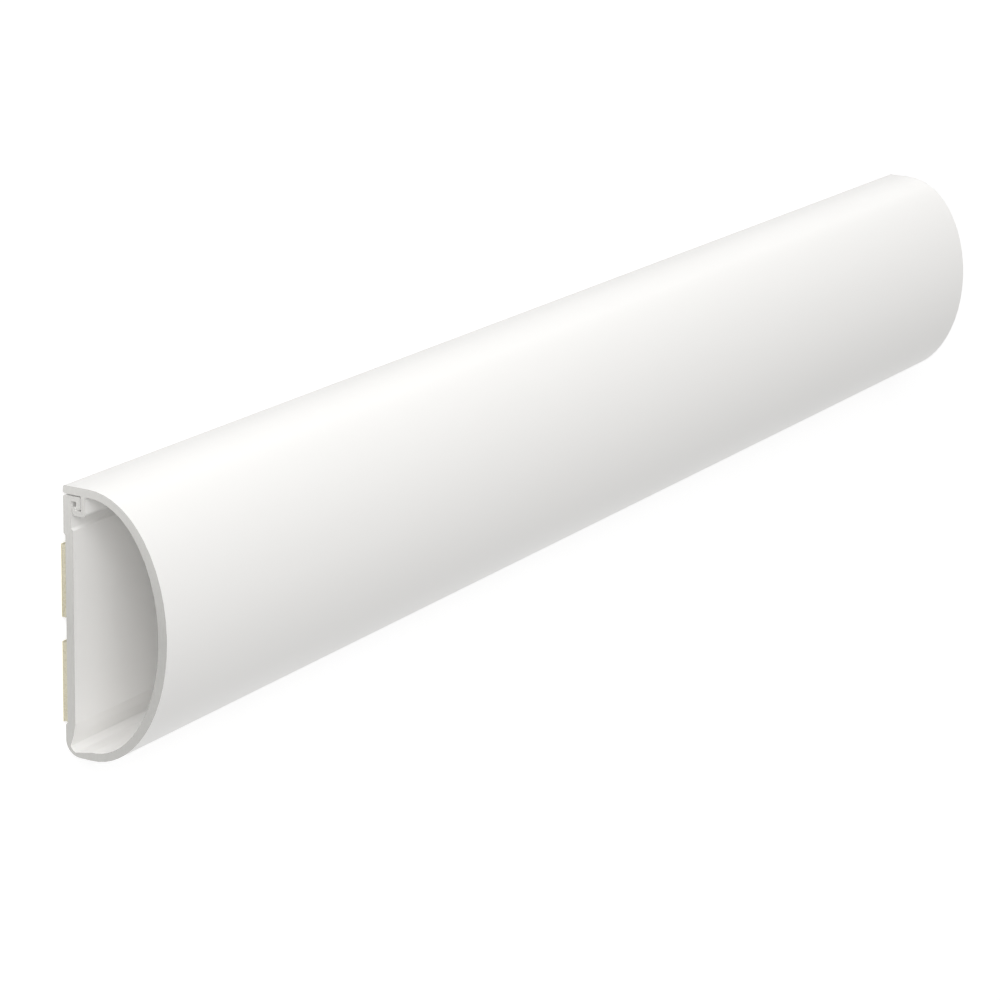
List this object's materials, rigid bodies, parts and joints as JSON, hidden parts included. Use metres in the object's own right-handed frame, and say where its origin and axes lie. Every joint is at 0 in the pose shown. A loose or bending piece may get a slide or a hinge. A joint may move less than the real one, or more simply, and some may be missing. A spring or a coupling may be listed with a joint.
{
  "type": "half-round hinged cable trunking moulding",
  "caption": "White half-round plastic trunking moulding that sticks to a wall and hides cables behind a cover hinged along one edge and clipped along the other",
  "frame": {"origin": "middle of the bottom of the bounding box, on the plane the adhesive tapes rest on", "axes": "+X along the moulding's length, +Y towards the long edge that clips shut, +Z out of the wall towards the crown of the cover"},
  "size_m": [0.35, 0.05, 0.0226],
  "materials": {
    "white_plastic": "satin white extruded plastic",
    "foam_tape": "matte foam",
    "release_liner": "waxed paper"
  },
  "bodies": {
    "base": {"base_plate": "white_plastic", "living_hinge": "white_plastic", "foam_tape_upper": "foam_tape", "foam_tape_lower": "foam_tape", "release_liner_upper": "release_liner", "release_liner_lower": "release_liner"},
    "cover": {"hinged_cover": "white_plastic"}
  },
  "joints": [
    {"name": "cover_hinge", "type": "hinge", "parent": "base", "child": "cover", "pos_m": [0, -0.02402, 0.00181], "axis": [1, 0, 0], "range_deg": [0, 90], "deforming": ["living_hinge"]}
  ]
}
